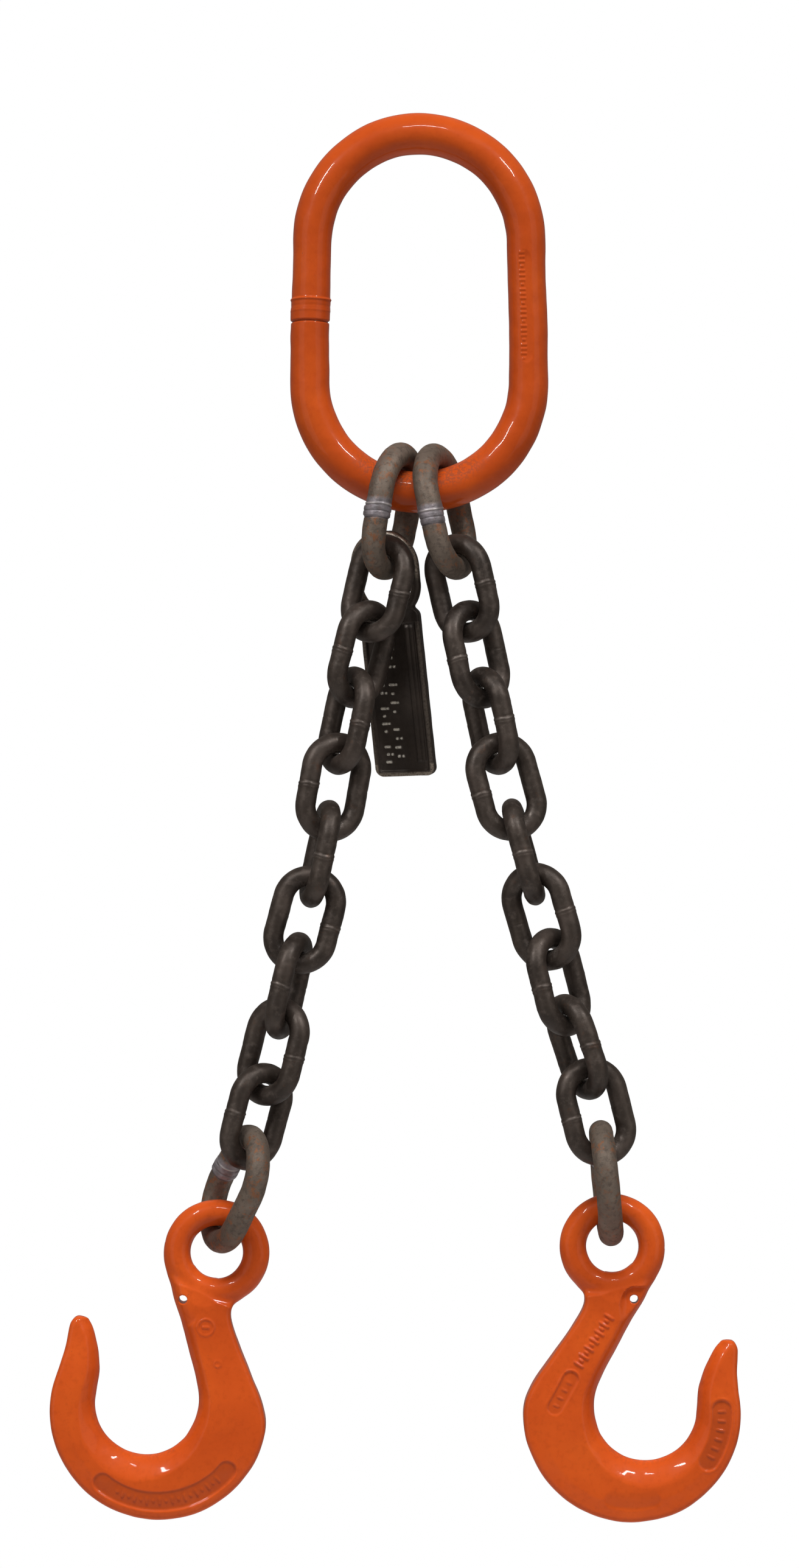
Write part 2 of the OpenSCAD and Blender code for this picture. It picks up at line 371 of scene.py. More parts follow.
class Graph:
    """A small helper that adds nodes to a material and wires them up."""

    def __init__(self, name):
        self.material = bpy.data.materials.new(name)
        self.material.use_nodes = True
        self.tree = self.material.node_tree
        self.shader = self.tree.nodes["Principled BSDF"]
        self.coords = self.tree.nodes.new("ShaderNodeTexCoord").outputs["Object"]

    def node(self, kind, inputs=(), **settings):
        n = self.tree.nodes.new(kind)
        for key, value in settings.items():
            setattr(n, key, value)
        for key, value in dict(inputs).items():
            self.put(n.inputs[key], value)
        return n

    def put(self, socket, value):
        if isinstance(value, bpy.types.NodeSocket):
            self.tree.links.new(value, socket)
        else:
            socket.default_value = value

    def noise(self, scale, detail=4.0, rough=0.55, distortion=0.0):
        """Noise whose features are about scale mm across."""
        n = self.node(
            "ShaderNodeTexNoise",
            {
                "Vector": self.coords,
                "Scale": 1 / (scale * MM),
                "Detail": detail,
                "Roughness": rough,
                "Distortion": distortion,
            },
        )
        return n.outputs["Fac"]

    def ramp(self, value, *stops):
        n = self.node("ShaderNodeValToRGB", {"Fac": value})
        e = n.color_ramp.elements
        while len(e) < len(stops):
            e.new(0.5)
        for element, (at, colour) in zip(e, stops):
            element.position = at
            element.color = (*colour, 1) if len(colour) == 3 else colour
        return n.outputs["Color"]

    def span(self, value, lo, hi, to_lo=0.0, to_hi=1.0):
        n = self.node(
            "ShaderNodeMapRange",
            {"Value": value, "From Min": lo, "From Max": hi, "To Min": to_lo, "To Max": to_hi},
        )
        return n.outputs["Result"]

    def maths(self, operation, a, b=0.0, clamp=False):
        n = self.node("ShaderNodeMath", {0: a, 1: b}, operation=operation, use_clamp=clamp)
        return n.outputs[0]

    def mix(self, factor, a, b):
        n = self.node("ShaderNodeMix", data_type="RGBA")
        self.put(n.inputs["Factor"], factor)
        for socket, value in ((n.inputs[6], a), (n.inputs[7], b)):
            self.put(socket, (*value, 1) if isinstance(value, tuple) else value)
        return n.outputs[2]

    def attribute(self, name):
        return self.node("ShaderNodeAttribute", attribute_name=name).outputs["Fac"]

    def bump(self, height, strength, distance, normal=None):
        """Bump of a height from 0 to 1, distance mm deep."""
        inputs = {"Height": height, "Strength": strength, "Distance": distance * MM}
        if normal is not None:
            inputs["Normal"] = normal
        return self.node("ShaderNodeBump", inputs).outputs["Normal"]

    def finish(self, **sockets):
        for key, value in sockets.items():
            self.put(self.shader.inputs[key.replace("_", " ")], value)
        return self.material


def paint_material():
    g = Graph("orange_paint")
    broad, fine = g.noise(34, 3), g.noise(2.4, 5, 0.6)
    colour = g.ramp(
        broad, (0.3, (0.60, 0.080, 0.010)), (0.55, (0.68, 0.096, 0.0115)), (0.75, (0.76, 0.115, 0.013))
    )
    # A lighter copy of the paint for the hooks: painted light, making up for the lamps leaving the hooks
    # darker than the master link.
    painted_light_lift = g.ramp(
        broad, (0.3, (0.74, 0.098, 0.0125)), (0.55, (0.83, 0.116, 0.0145)), (0.75, (0.91, 0.137, 0.0165))
    )
    colour = g.mix(g.attribute("painted_light_lift"), colour, painted_light_lift)
    colour = g.mix(g.span(fine, 0.5, 0.75, 0, 0.3), colour, (0.54, 0.060, 0.007))
    # Painted shade: darker in the gap under the collar and in the hooks' sunken slots.
    painted_recess_shade = g.attribute("painted_recess_shade")
    colour = g.mix(g.maths("MULTIPLY", painted_recess_shade, 0.5), colour, (0.30, 0.055, 0.016))
    rub = g.attribute("rub")
    chips = g.maths("MULTIPLY", g.span(g.noise(1.5, 6, 0.62), 0.68, 0.71), g.span(g.noise(17, 3), 0.60, 0.68))
    worn = g.maths("MULTIPLY", rub, g.span(g.noise(1.1, 5, 0.6), 0.46, 0.53))
    chips = g.maths("MAXIMUM", chips, worn, True)
    colour = g.mix(chips, colour, (0.10, 0.062, 0.045))
    rough = g.span(g.noise(6, 5, 0.65), 0.3, 0.7, 0.30, 0.42)
    rough = g.maths("ADD", rough, g.maths("MULTIPLY", chips, 0.25))
    peel = g.bump(g.noise(1.2, 3, 0.5), 0.25, 0.08)
    waves = g.bump(g.noise(6, 2, 0.5), 0.5, 0.36, peel)
    dents = g.bump(g.maths("SUBTRACT", 1.0, chips), 0.6, 0.08, waves)
    return g.finish(
        Base_Color=colour,
        Roughness=rough,
        Normal=dents,
        Specular_IOR_Level=0.2,
        Coat_Weight=0.65,
        Coat_Roughness=0.06,
        Coat_IOR=1.35,
        IOR=1.3,
    )


def chain_material():
    g = Graph("chain_steel")
    broad, mid, fine = g.noise(15, 4), g.noise(3.2, 5, 0.62), g.noise(0.7, 4, 0.6)
    colour = g.ramp(
        broad, (0.32, (0.042, 0.031, 0.025)), (0.52, (0.070, 0.053, 0.043)), (0.72, (0.110, 0.084, 0.070))
    )
    colour = g.mix(g.span(mid, 0.52, 0.72, 0, 0.6), colour, (0.150, 0.118, 0.100))
    colour = g.mix(g.span(g.noise(5.5, 5, 0.7), 0.6, 0.72, 0, 0.5), colour, (0.125, 0.060, 0.034))
    weld = g.attribute("weld")
    colour = g.mix(g.maths("MULTIPLY", weld, 0.34), colour, (0.36, 0.31, 0.28))
    rub = g.maths("MULTIPLY", g.attribute("rub"), g.span(fine, 0.35, 0.6))
    colour = g.mix(g.maths("MULTIPLY", rub, 0.6), colour, (0.30, 0.26, 0.23))
    rough = g.span(mid, 0.3, 0.7, 0.36, 0.56)
    rough = g.maths("SUBTRACT", rough, g.maths("MULTIPLY", rub, 0.14))
    grain = g.bump(fine, 0.35, 0.10)
    scale = g.bump(mid, 0.5, 0.22, grain)
    return g.finish(Base_Color=colour, Roughness=rough, Normal=scale, Metallic=0.55, IOR=1.6)


def coupling_material():
    g = Graph("coupling_steel")
    broad, mid, fine = g.noise(18, 4), g.noise(2.4, 5, 0.66), g.noise(0.6, 4, 0.6)
    colour = g.ramp(
        broad, (0.3, (0.130, 0.098, 0.076)), (0.5, (0.190, 0.148, 0.116)), (0.72, (0.265, 0.208, 0.165))
    )
    colour = g.mix(g.span(mid, 0.50, 0.66, 0, 0.6), colour, (0.066, 0.050, 0.040))
    rust = g.maths("MULTIPLY", g.span(g.noise(3.2, 5, 0.7), 0.52, 0.62), g.span(g.noise(14, 2), 0.38, 0.56))
    colour = g.mix(g.maths("MULTIPLY", rust, 0.8), colour, (0.30, 0.115, 0.044))
    band = g.attribute("weld")
    blue = g.ramp(g.noise(4, 4), (0.35, (0.20, 0.185, 0.20)), (0.65, (0.38, 0.35, 0.39)))
    colour = g.mix(g.maths("MULTIPLY", band, 0.85), colour, blue)
    line = g.attribute("line")
    colour = g.mix(g.maths("MULTIPLY", line, 0.8), colour, (0.75, 0.70, 0.68))
    # Painted shade in the band's grooves.
    colour = g.mix(g.maths("MULTIPLY", g.attribute("painted_groove_shade"), 0.7), colour, (0.05, 0.045, 0.05))
    rough = g.span(mid, 0.3, 0.7, 0.5, 0.68)
    rough = g.maths("SUBTRACT", rough, g.maths("MULTIPLY", band, 0.14))
    grain = g.bump(fine, 0.5, 0.12)
    forged = g.bump(mid, 0.6, 0.3, grain)
    return g.finish(Base_Color=colour, Roughness=rough, Normal=forged, Metallic=0.5, IOR=1.6)


def tag_material():
    g = Graph("tag_steel")
    mid, fine = g.noise(3.5, 5, 0.62), g.noise(0.8, 4, 0.6)
    colour = g.ramp(
        g.noise(20, 4),
        (0.32, (0.030, 0.021, 0.016)),
        (0.55, (0.048, 0.035, 0.027)),
        (0.75, (0.074, 0.055, 0.043)),
    )
    colour = g.mix(g.span(mid, 0.55, 0.72, 0, 0.5), colour, (0.022, 0.016, 0.012))
    # Worn bright metal on the edges, with a painted highlight on the ring's crown.
    shine = g.maths("MULTIPLY", g.attribute("rub"), g.span(fine, 0.3, 0.55))
    colour = g.mix(g.maths("MULTIPLY", shine, 0.8), colour, (0.55, 0.46, 0.37))
    mark = g.attribute("mark")
    colour = g.mix(g.maths("MULTIPLY", mark, g.span(fine, 0.25, 0.5)), colour, (0.85, 0.80, 0.70))
    rough = g.span(mid, 0.3, 0.7, 0.38, 0.55)
    rough = g.maths("SUBTRACT", rough, g.maths("MULTIPLY", shine, 0.12))
    cast = g.bump(mid, 0.45, 0.18, g.bump(fine, 0.4, 0.1))
    return g.finish(Base_Color=colour, Roughness=rough, Normal=cast, Metallic=0.5, IOR=1.6)


PAINT, CHAIN_STEEL = paint_material(), chain_material()
COUPLING_STEEL, TAG_STEEL = coupling_material(), tag_material()


def place(piece, node):
    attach(piece, node)
    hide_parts(node)


# ---------------------------------------------------------------------------
# The links
# ---------------------------------------------------------------------------

ROUND = np.linspace(0, 2 * math.pi, 41)[:-1]
# How far up and down a leg from its middle the weld's marks may reach
CHAIN_LEG, COUPLING_LEG = 7.8, 8.8


def leg_spans(size, fine_lo, fine_hi, fine, coarse):
    """Stations up a straight leg, closer together between fine_lo and fine_hi."""
    half = (size["long"] - size["wide"]) / 2
    fine_lo, fine_hi = max(fine_lo, -half), min(fine_hi, half)
    parts = [
        spacing(-half, fine_lo, coarse) if fine_lo > -half else [],
        spacing(fine_lo, fine_hi, fine),
        spacing(fine_hi, half, coarse) if fine_hi < half else [half],
    ]
    z = np.concatenate(parts)
    return z[z < half - 1e-6]


def inner_wear(x, z, angle, size):
    """1 on the inside of the link's two ends, where the next link bears."""
    half = (size["long"] - size["wide"]) / 2
    over = np.abs(z) - half
    end = smooth(over / end_r(size) * 2 - 0.9)
    return end * smooth((-np.cos(angle) - 0.35) / 0.5)


def chain_link(node, place_at, weld_sign, seed):
    size = CHAIN
    z = leg_spans(size, -8, 8, 0.3, 0.8)
    stations = stadium(size, (z, z), 0.75)
    centre, turn = place_at

    def on_leg(x, zz, sign):
        return (np.sign(x) == sign) & (np.abs(zz) < CHAIN_LEG)

    def from_weld(zz, angle):
        """How far up the leg a place is from the weld's wavy line."""
        return zz - (0.35 * np.sin(angle + seed) + 0.2 * np.sin(3 * angle + seed))

    def swell(x, zz, angle):
        p = np.stack([x + 5 * np.cos(angle), 5 * np.sin(angle), zz], axis=-1)
        radius = size["d"] / 2 - 0.10 + 0.06 * lumps(p, seed, 9) + 0.03 * lumps(p, seed + 50, 3)
        t = from_weld(zz, angle)
        bead = 0.26 * ridge(t, 0.55) + 0.16 * ridge(t + 1.5, 0.6)
        bead -= 0.10 * ridge(t - 1.1, 0.5)
        scar = 0.10 * ridge(zz + 0.7 * np.sin(seed), 0.4) * smooth(np.cos(angle - 1.6 * seed) * 2 - 0.6)
        return radius + bead * on_leg(x, zz, weld_sign) - scar * on_leg(x, zz, -weld_sign)

    p, quads = bar_ring(size, stations, ROUND, swell)
    x, zz = stations[:, None, 0], stations[:, None, 1]
    angle = ROUND[None, :]
    fleck = smooth(0.5 + 0.9 * np.sin(2 * angle + 2 * seed) * np.sin(3 * angle + seed))
    weld = on_leg(x, zz, weld_sign) * ridge(from_weld(zz, angle), 0.42) * fleck
    rub = inner_wear(x, zz, angle, size) + 0 * angle
    piece = make_piece(
        node + "_wire", p.reshape(-1, 3), quads, centre, turn, CHAIN_STEEL, {"weld": weld, "rub": rub}
    )
    place(piece, node)


def coupling_link(node, place_at, weld_sign, up, seed):
    """up is +1 where the thick end of the bar is at the top, or -1."""
    size = COUPLING
    z = leg_spans(size, -COUPLING_LEG, COUPLING_LEG, 0.3, 0.8)
    stations = stadium(size, (z, z), 0.9)
    angles = np.linspace(0, 2 * math.pi, 57)[:-1]
    centre, turn = place_at

    def band(zz, angle):
        wobble = 0.35 * np.sin(angle + seed) + 0.25 * np.sin(2 * angle + 2 * seed)
        t = zz + wobble
        return t, smooth((t + 5.6) / 1.2) * smooth((5.2 - t) / 2.2)

    def swell(x, zz, angle):
        p = np.stack([x + 7 * np.cos(angle), 7 * np.sin(angle), zz], axis=-1)
        taper = 0.28 * smooth((12 - zz) / 34) * (up > 0) + 0.28 * smooth((zz + 12) / 34) * (up < 0)
        radius = size["d"] / 2 - 0.06 - taper + 0.08 * lumps(p, seed, 12) + 0.035 * lumps(p, seed + 50, 3.5)
        on_leg = (np.sign(x) == weld_sign) & (np.abs(zz) < COUPLING_LEG)
        t, whole = band(zz, angle)
        lug = smooth((t + 4.4) / 0.5) * smooth((0.6 - t) / 0.5)
        lug = lug * smooth(0.9 + 0.9 * np.sin(2 * angle + seed))
        edge = 0.34 * ridge(t - 1.5, 0.4) - 0.26 * ridge(t + 1.9, 0.3) - 0.22 * ridge(t + 4.9, 0.35)
        return radius + on_leg * (0.12 * whole + 0.50 * lug + edge)

    p, quads = bar_ring(size, stations, angles, swell)
    x, zz, angle = stations[:, None, 0], stations[:, None, 1], angles[None, :]
    on_leg = (np.sign(x) == weld_sign) & (np.abs(zz) < COUPLING_LEG)
    t, whole = band(zz, angle)
    line = on_leg * ridge(t - 1.5, 0.32) * smooth(0.75 + 0.5 * np.sin(3 * angle + seed))
    # Painted shade in the band's two grooves.
    grooves = ridge(t + 4.9, 0.35) + 0.6 * ridge(t + 1.9, 0.25)
    painted_groove_shade = on_leg * grooves * smooth(0.8 + 0.5 * np.sin(4 * angle))
    piece = make_piece(
        node + "_wire",
        p.reshape(-1, 3),
        quads,
        centre,
        turn,
        COUPLING_STEEL,
        {"weld": on_leg * whole, "line": line, "painted_groove_shade": painted_groove_shade},
    )
    place(piece, node)


FACET_TOP, FACET_BOTTOM = 33.0, -28.0
COLLAR_Z = 1.5


def master_link():
    size = MASTER
    right = leg_spans(size, FACET_BOTTOM - 4, FACET_TOP + 4, 0.45, 1.3)
    left = leg_spans(size, -9, 9, 0.3, 1.3)
    stations = stadium(size, (right, left), 1.3)
    front = np.linspace(-0.72, 0.72, 53) - math.pi / 2
    back = np.linspace(0.72, 2 * math.pi - 0.72, 45)[1:-1] - math.pi / 2
    angles = np.concatenate([front, back])
    tick_z = np.arange(FACET_TOP - 6, FACET_BOTTOM + 5, -2.1)
    ticks = [(z, (0.9, 0.9, 0.9, 0.45)[k % 4]) for k, z in enumerate(tick_z)]

    def collar_at(x, zz, angle):
        """Whether a place is on the leg with the collar, and how far it is above the collar's middle."""
        return (x < -40) & (np.abs(zz) < 10), zz - COLLAR_Z + 0.25 * np.sin(angle * 2 + 1)

    def swell(x, zz, angle):
        p = np.stack([x + 10 * np.cos(angle), 10 * np.sin(angle), zz], axis=-1)
        slim = smooth((62 - np.abs(zz - 2)) / 45)
        radius = size["d"] / 2 - 0.08 - 0.55 * slim + 0.10 * lumps(p, 7, 26) + 0.04 * lumps(p, 8, 9)
        on_left, t = collar_at(x, zz, angle)
        collar = 0.22 * smooth((t + 5.2) / 0.5) * smooth((5.2 - t) / 0.7)
        collar = collar + 0.42 * ridge(t - 4.6, 0.55) + 0.10 * ridge(t + 0.6, 0.5)
        collar = collar - 0.10 * ridge(t - 1.5, 0.7)
        gap = 0.75 * ridge(t + 5.6, 0.4)
        radius = radius + on_left * (collar - gap)
        # A flat pressed on the front of the right leg, with a row of plain raised dashes.
        on_right = (x > 40) & (zz > FACET_BOTTOM - 4) & (zz < FACET_TOP + 4)
        depth = smooth((zz - FACET_BOTTOM) / 9) * smooth((FACET_TOP - zz) / 9)
        flat_at = size["d"] / 2 - 1.15 * depth
        down = np.maximum(-np.sin(angle + 0.12), 0.05)
        cut = np.minimum(radius, flat_at / down)
        across = cut * np.cos(angle + 0.12)
        raised = np.zeros_like(radius)
        for tick, wide in ticks:
            along = smooth((0.65 - np.abs(zz - tick)) / 0.4)
            raised = np.maximum(raised, along * smooth((1.5 * wide + 0.25 - np.abs(across + 1.2)) / 0.45))
        return np.where(on_right, cut + 0.32 * raised * depth * (down > 0.5), radius)

    p, quads = bar_ring(size, stations, angles, swell)
    p[..., 0] *= 1 - 0.021 * smooth((p[..., 2] + 12) / 40)
    x, zz, angle = stations[:, None, 0], stations[:, None, 1], angles[None, :]
    on_left, t = collar_at(x, zz, angle)
    # Painted shade in the gap under the collar.
    painted_recess_shade = on_left * ridge(t + 5.6, 0.6)
    low = (zz < -size["long"] / 2 + size["wide"] / 2) * smooth((-zz - 66) / 12)
    rub = 0.4 * low * smooth((-np.cos(angle) + 0.2) / 0.6)
    piece = make_piece(
        "master_link_bar",
        p.reshape(-1, 3),
        quads,
        np.array([0, 0, -size["long"] / 2]),
        np.eye(3),
        PAINT,
        {"painted_recess_shade": painted_recess_shade, "rub": rub},
    )
    place(piece, "master_link")


# ---------------------------------------------------------------------------
# The hooks. Plan view in X and Z from the eye's centre, opening to +X.
# ---------------------------------------------------------------------------

BOWL = (0.0, -76.5)
BACK = (-6.5, -76.5)
SEAT_R, BACK_R = 23.5, 50.0
ARC = np.radians(np.arange(0, 181, 12))
INNER = spline(
    [(40.5, -52.6), (37, -55.2), (33.4, -59.5), (30.3, -63.8), (27.6, -68.5), (25.4, -73)]
    + [(BOWL[0] + SEAT_R * math.cos(a), BOWL[1] - SEAT_R * math.sin(a)) for a in ARC[1:-1]]
    + [(-23.3, -73), (-21.2, -65), (-16, -57), (-8, -47), (1, -36), (9, -27.5)]
    + [(13.9, -20.9), (16.1, -17), (16.7, -13), (16, -9.5)],
    6,
)
OUTER = spline(
    [(41.8, -52.4), (45.6, -53.6), (47, -57), (46.2, -61.5), (44.6, -68)]
    + [(BACK[0] + BACK_R * math.cos(a), BACK[1] - BACK_R * math.sin(a)) for a in ARC]
    + [(-54.5, -64), (-48, -54), (-37.5, -44), (-27, -34), (-18.8, -25)]
    + [(-17, -19), (-18, -14.5), (-17.6, -11.5)],
    6,
)
# The open side, closed well away from the ring, and the hook with its open side filled in
THROAT = np.vstack([INNER, [[46.0, 4.0]]])
SOLID = np.vstack([OUTER, THROAT[-2:], INNER[:1]])
# Half the thickness, and the width of the rounding on the inside, at places along the middle.
BODY = (
    [(43.5, -53.5, 4.4, 4.5), (41.5, -58, 6.4, 4.5), (38.8, -64, 8.2, 5), (36, -72, 9.4, 5.5)]
    + [
        (
            ((SEAT_R + BACK_R) * math.cos(a) + BACK[0]) / 2,
            BOWL[1] - (SEAT_R + BACK_R) / 2 * math.sin(a),
            9.9,
            5.5 + 6.5 * math.sin(a) ** 1.5,
        )
        for a in ARC[1:-1]
    ]
    + [(-38, -66, 9.6, 6), (-32, -56, 9.1, 5.5), (-23, -46, 8.6, 5), (-13, -35, 8.2, 5), (-4, -24, 8.0, 5)]
)
LATCH = (5.0, -25.6)
LATCH_R = 2.0
FRONT, REAR = -1, 1  # the side that faces -Y on the right hook, and the other
WEB = {FRONT: 4.9, REAR: 5.9}
BODY_REACH = 9.0  # how far each place in BODY has its say
DRAFT, DRAFT_W = 1.1, 13.0  # how much thinner the body is at its outer edge, and over what width
EYE_CLEAR = 5.0  # how far inside the ring's centre line the body stops
NICK = (27.4, -4.5, -67.8)  # a chip on the right hook's inner edge


def hook_relief(x, z, side):
    """How far the side face stands above (+) or below (-) the plain face, and a mask of painted shade in its
    hollows.
    """
    rise, painted_recess_shade = np.zeros(np.shape(x)), np.zeros(np.shape(x))

    def sink(distance, depth, wall=0.9, shade=0.7):
        nonlocal rise, painted_recess_shade
        hole = smooth(-distance / wall + 0.5)
        rise = rise - depth * hole
        # Painted shade in the hollow, as strong as shade.
        painted_recess_shade = np.maximum(painted_recess_shade, hole * shade)

    def raise_(distance, height, wall=0.5):
        nonlocal rise
        rise = rise + height * smooth(-distance / wall + 0.5)

    def bars(places, half, wide, height):
        for (px, pz), (ux, uz) in places:
            ends = (px - ux * half, pz - uz * half), (px + ux * half, pz + uz * half)
            raise_(capsule(x, z, *ends, wide), height)

    def arc_bars(degrees, radius):
        out = []
        for d in degrees:
            ux, uz = math.cos(math.radians(d)), math.sin(math.radians(d))
            out.append(((BACK[0] + radius * ux, BACK[1] + radius * uz), (ux, uz)))
        return out

    if side == FRONT:
        sink(arc_slot(x, z, BACK, 41.0, -43, -9, 4.4), 0.8)
        raise_(np.abs(arc_slot(x, z, BACK, 41.0, -43, -9, 5.3)) - 0.35, 0.25)
        bars(arc_bars(range(-40, -9, 6), 41), 1.3, 0.55, 0.5)
        sink(arc_slot(x, z, BACK, 40.0, -114, -88, 3.8), 0.3, 1.6, 0.25)
        low, high = (-40.5, -66.5), (-31.0, -55.0)
        sink(capsule(x, z, low, high, 3.4), 0.55, 0.9, 0.3)
        raise_(np.abs(capsule(x, z, low, high, 4.0)) - 0.4, 0.35)
        along = unit(np.array([high[0] - low[0], high[1] - low[1]]))
        across = (-along[1], along[0])
        rungs = [(low[0] + along[0] * t, low[1] + along[1] * t) for t in (1, 5, 9, 13)]
        bars([(at, across) for at in rungs], 1.0, 0.5, 0.4)
        row = [(-26.0 + 1.50 * k, -49.4 + 1.55 * k) for k in range(13)]
        bars([(at, (-0.74, 0.67)) for at in row[::2]], 2.0, 0.5, 0.8)
        bars([(at, (-0.74, 0.67)) for at in row[1::2]], 0.5, 0.6, 0.8)
    else:
        sink(arc_slot(x, z, BACK, 41.3, -164, -77, 4.2), 0.8)
        raise_(np.abs(arc_slot(x, z, BACK, 41.3, -164, -77, 5.1)) - 0.35, 0.25)
        bars(arc_bars(range(-156, -84, 8), 41.3), 1.2, 0.5, 0.45)
        bars(arc_bars(range(-152, -84, 8), 41.3), 0.2, 0.55, 0.45)
        raise_(np.abs(np.hypot(x + 10.0, z + 32.8) - 3.7) - 0.45, 0.4)
        bars([((-10.0, -32.8), (0.9, -0.4))], 1.1, 0.7, 0.4)
        raise_(np.abs(np.hypot(x + 22.0, z + 45.5) - 1.5) - 0.35, 0.3)
    return rise, painted_recess_shade


def along_body(x, z):
    """Half the thickness and the rounding's width, blended between the places in BODY."""
    total, half, soft = 1e-9, 0, 0
    for bx, bz, h, s in BODY:
        weight = np.exp(-((x - bx) ** 2 + (z - bz) ** 2) / (2 * BODY_REACH**2))
        total, half, soft = total + weight, half + weight * h, soft + weight * s
    return half / total, soft / total


def latch_flats(x, z):
    """How high each side of the neck may stand: the recess on the front, the cut corner on the rear."""
    head = (LATCH[0] + 0.4, LATCH[1] - 1.0)
    recess = np.minimum(capsule(x, z, head, (18, -28.5), 7.0), capsule(x, z, head, (-1, -42), 7.0))
    wall = 0.35 + 4 * smooth((-19.5 - z) / 9)
    front = WEB[FRONT] + 5 * smooth(recess / (2 * wall) + 0.5) + 3.4 * smooth((-24 - z) / 17)
    across, along = x * 0.88 + (z + 41.2) * 0.48, x * 0.48 - (z + 41.2) * 0.88
    wall = 0.5 + 4.5 * smooth((-along - 7) / 12)
    far = np.hypot(x - LATCH[0], z - LATCH[1]) - 24
    cut = np.maximum(-across, far)
    rear = WEB[REAR] + 5 * smooth(cut / (2 * wall) + 0.5) + 4 * smooth((-along - 1) / 22)
    return front, rear


def hook_field(x, z):
    d_in, d_out = to_line(x, z, INNER), to_line(x, z, OUTER)
    d_in = np.where(inside_polygon(x, z, THROAT), -d_in, d_in)
    d_out = np.where(inside_polygon(x, z, SOLID), d_out, -d_out)
    from_eye = np.hypot(x, z)
    h0, soft = along_body(x, z)
    h0 = h0 - DRAFT * smooth((DRAFT_W - d_out) / DRAFT_W)
    relief = {side: hook_relief(x, z, side)[0] for side in (FRONT, REAR)}
    lid = np.interp(from_eye, [12, 16, 19, 22, 26, 31], [2.5, 4.5, 6.5, 7.4, 8.2, 12])
    lid = np.minimum(lid, 2.6 + 7.0 * smooth((-13.5 - z) / 11))
    h = {side: np.minimum(h0 + relief[side], lid) for side in (FRONT, REAR)}
    front, rear = latch_flats(x, z)
    hole = LATCH_R - np.hypot(x - LATCH[0], z - LATCH[1])
    eye = from_eye - EYE_R
    bar = EYE_BAR / 2 - 0.04

    def at(y):
        top = np.where(y < 0, h[FRONT], h[REAR])
        t = np.maximum(1 - d_in / soft, 0)
        inner = (np.sqrt(t + (y / top) ** 2) - 1) * np.minimum(top, soft)
        inner = np.where(t > 0, inner, np.abs(y) - top)
        r = np.minimum(3.0, top * 0.7)
        qx, qy = r - d_out, np.abs(y) - top + r
        outer = np.hypot(np.maximum(qx, 0), np.maximum(qy, 0)) + np.minimum(np.maximum(qx, qy), 0) - r
        body = blend_max(blend_max(inner, outer, 1.0), EYE_R - EYE_CLEAR - from_eye, 0.8)
        ring = np.hypot(eye, y) - bar
        f = blend_min(body, ring, 2.6)
        f = blend_max(f, -y - front, 0.6)
        f = blend_max(f, y - rear, 0.8)
        return np.maximum(f, hole)

    return at


def make_hooks(places):
    points, quads = surface_net(hook_field, (-59, -12.5, -129), (49.5, 12.5, 27), 0.62, 3)
    x, y, z = points.T
    # Painted shade in the sunken slots on the side faces, kept off the edges.
    painted_recess_shade = np.where(y < 0, hook_relief(x, z, FRONT)[1], hook_relief(x, z, REAR)[1])
    painted_recess_shade = painted_recess_shade * smooth((np.abs(y) - 5) / 2)
    seat = smooth((60 - np.hypot(x, z + 60)) / 30) * smooth((3 - to_line(x, z, INNER)) / 3) * (z < -90)
    rub = 0.25 * seat
    rough = points + 0.09 * np.stack([lumps(points, 20 + k, 22) for k in range(3)], axis=-1)
    rough += 0.03 * np.stack([lumps(points, 30 + k, 7) for k in range(3)], axis=-1)
    nick = ridge(np.linalg.norm(points - np.array(NICK), axis=-1), 1.5)
    # Painted light: every hook takes the lighter copy of the paint.
    painted_light_lift = np.ones(len(points))
    for name, (centre, turn) in places.items():
        shape, worn = rough, rub
        if name == "right_hook":
            shape = rough + nick[:, None] * np.array([-1.0, -0.4, 0.5])
            worn = np.maximum(rub, nick)
        piece = make_piece(
            name + "_forging", shape, quads, centre, turn, PAINT, {"painted_recess_shade": painted_recess_shade, "rub": worn, "painted_light_lift": painted_light_lift}
        )
        place(piece, name)


# ---------------------------------------------------------------------------
# The tag. Plan view in X and Z from its ring's centre, its front to -Y.
# ---------------------------------------------------------------------------


def tag_marks():
    """Plain dashes and dots in two columns, as (x, z, half length, half width)."""
    marks = []
    for x, top, bottom, step in ((-7.6, -44, -88, 3.6), (-2.2, -30, -90, 4.2)):
        for k, z in enumerate(np.arange(top, bottom, -step)):
            if k % 5 == 4:
                continue
            reach = (1.0, 0.2, 1.0, 0.2, 0)[k % 5]
            marks.append((x, z, reach, 0.6))
            if k % 2:
                marks.append((x + 2.1, z, 0.1, 0.55))
    return marks


MARKS = tag_marks()


def mark_cover(x, z, wall, level):
    """0 to 1, how far a place is inside one of the marks."""
    cover = np.zeros(np.shape(x))
    for mx, mz, reach, w in MARKS:
        inside = -capsule(x, z, (mx - reach, mz), (mx + reach, mz), w)
        cover = np.maximum(cover, smooth(inside / wall + level))
    return cover


def from_tag_ring(x, z):
    """Distance in plan outward from the middle of the ring's wire."""
    wide, long = TAG["ring"]
    half = (long - wide) / 2
    return np.hypot(x, np.maximum(np.abs(z) - half, 0)) - (wide + TAG["wire"]) / 2


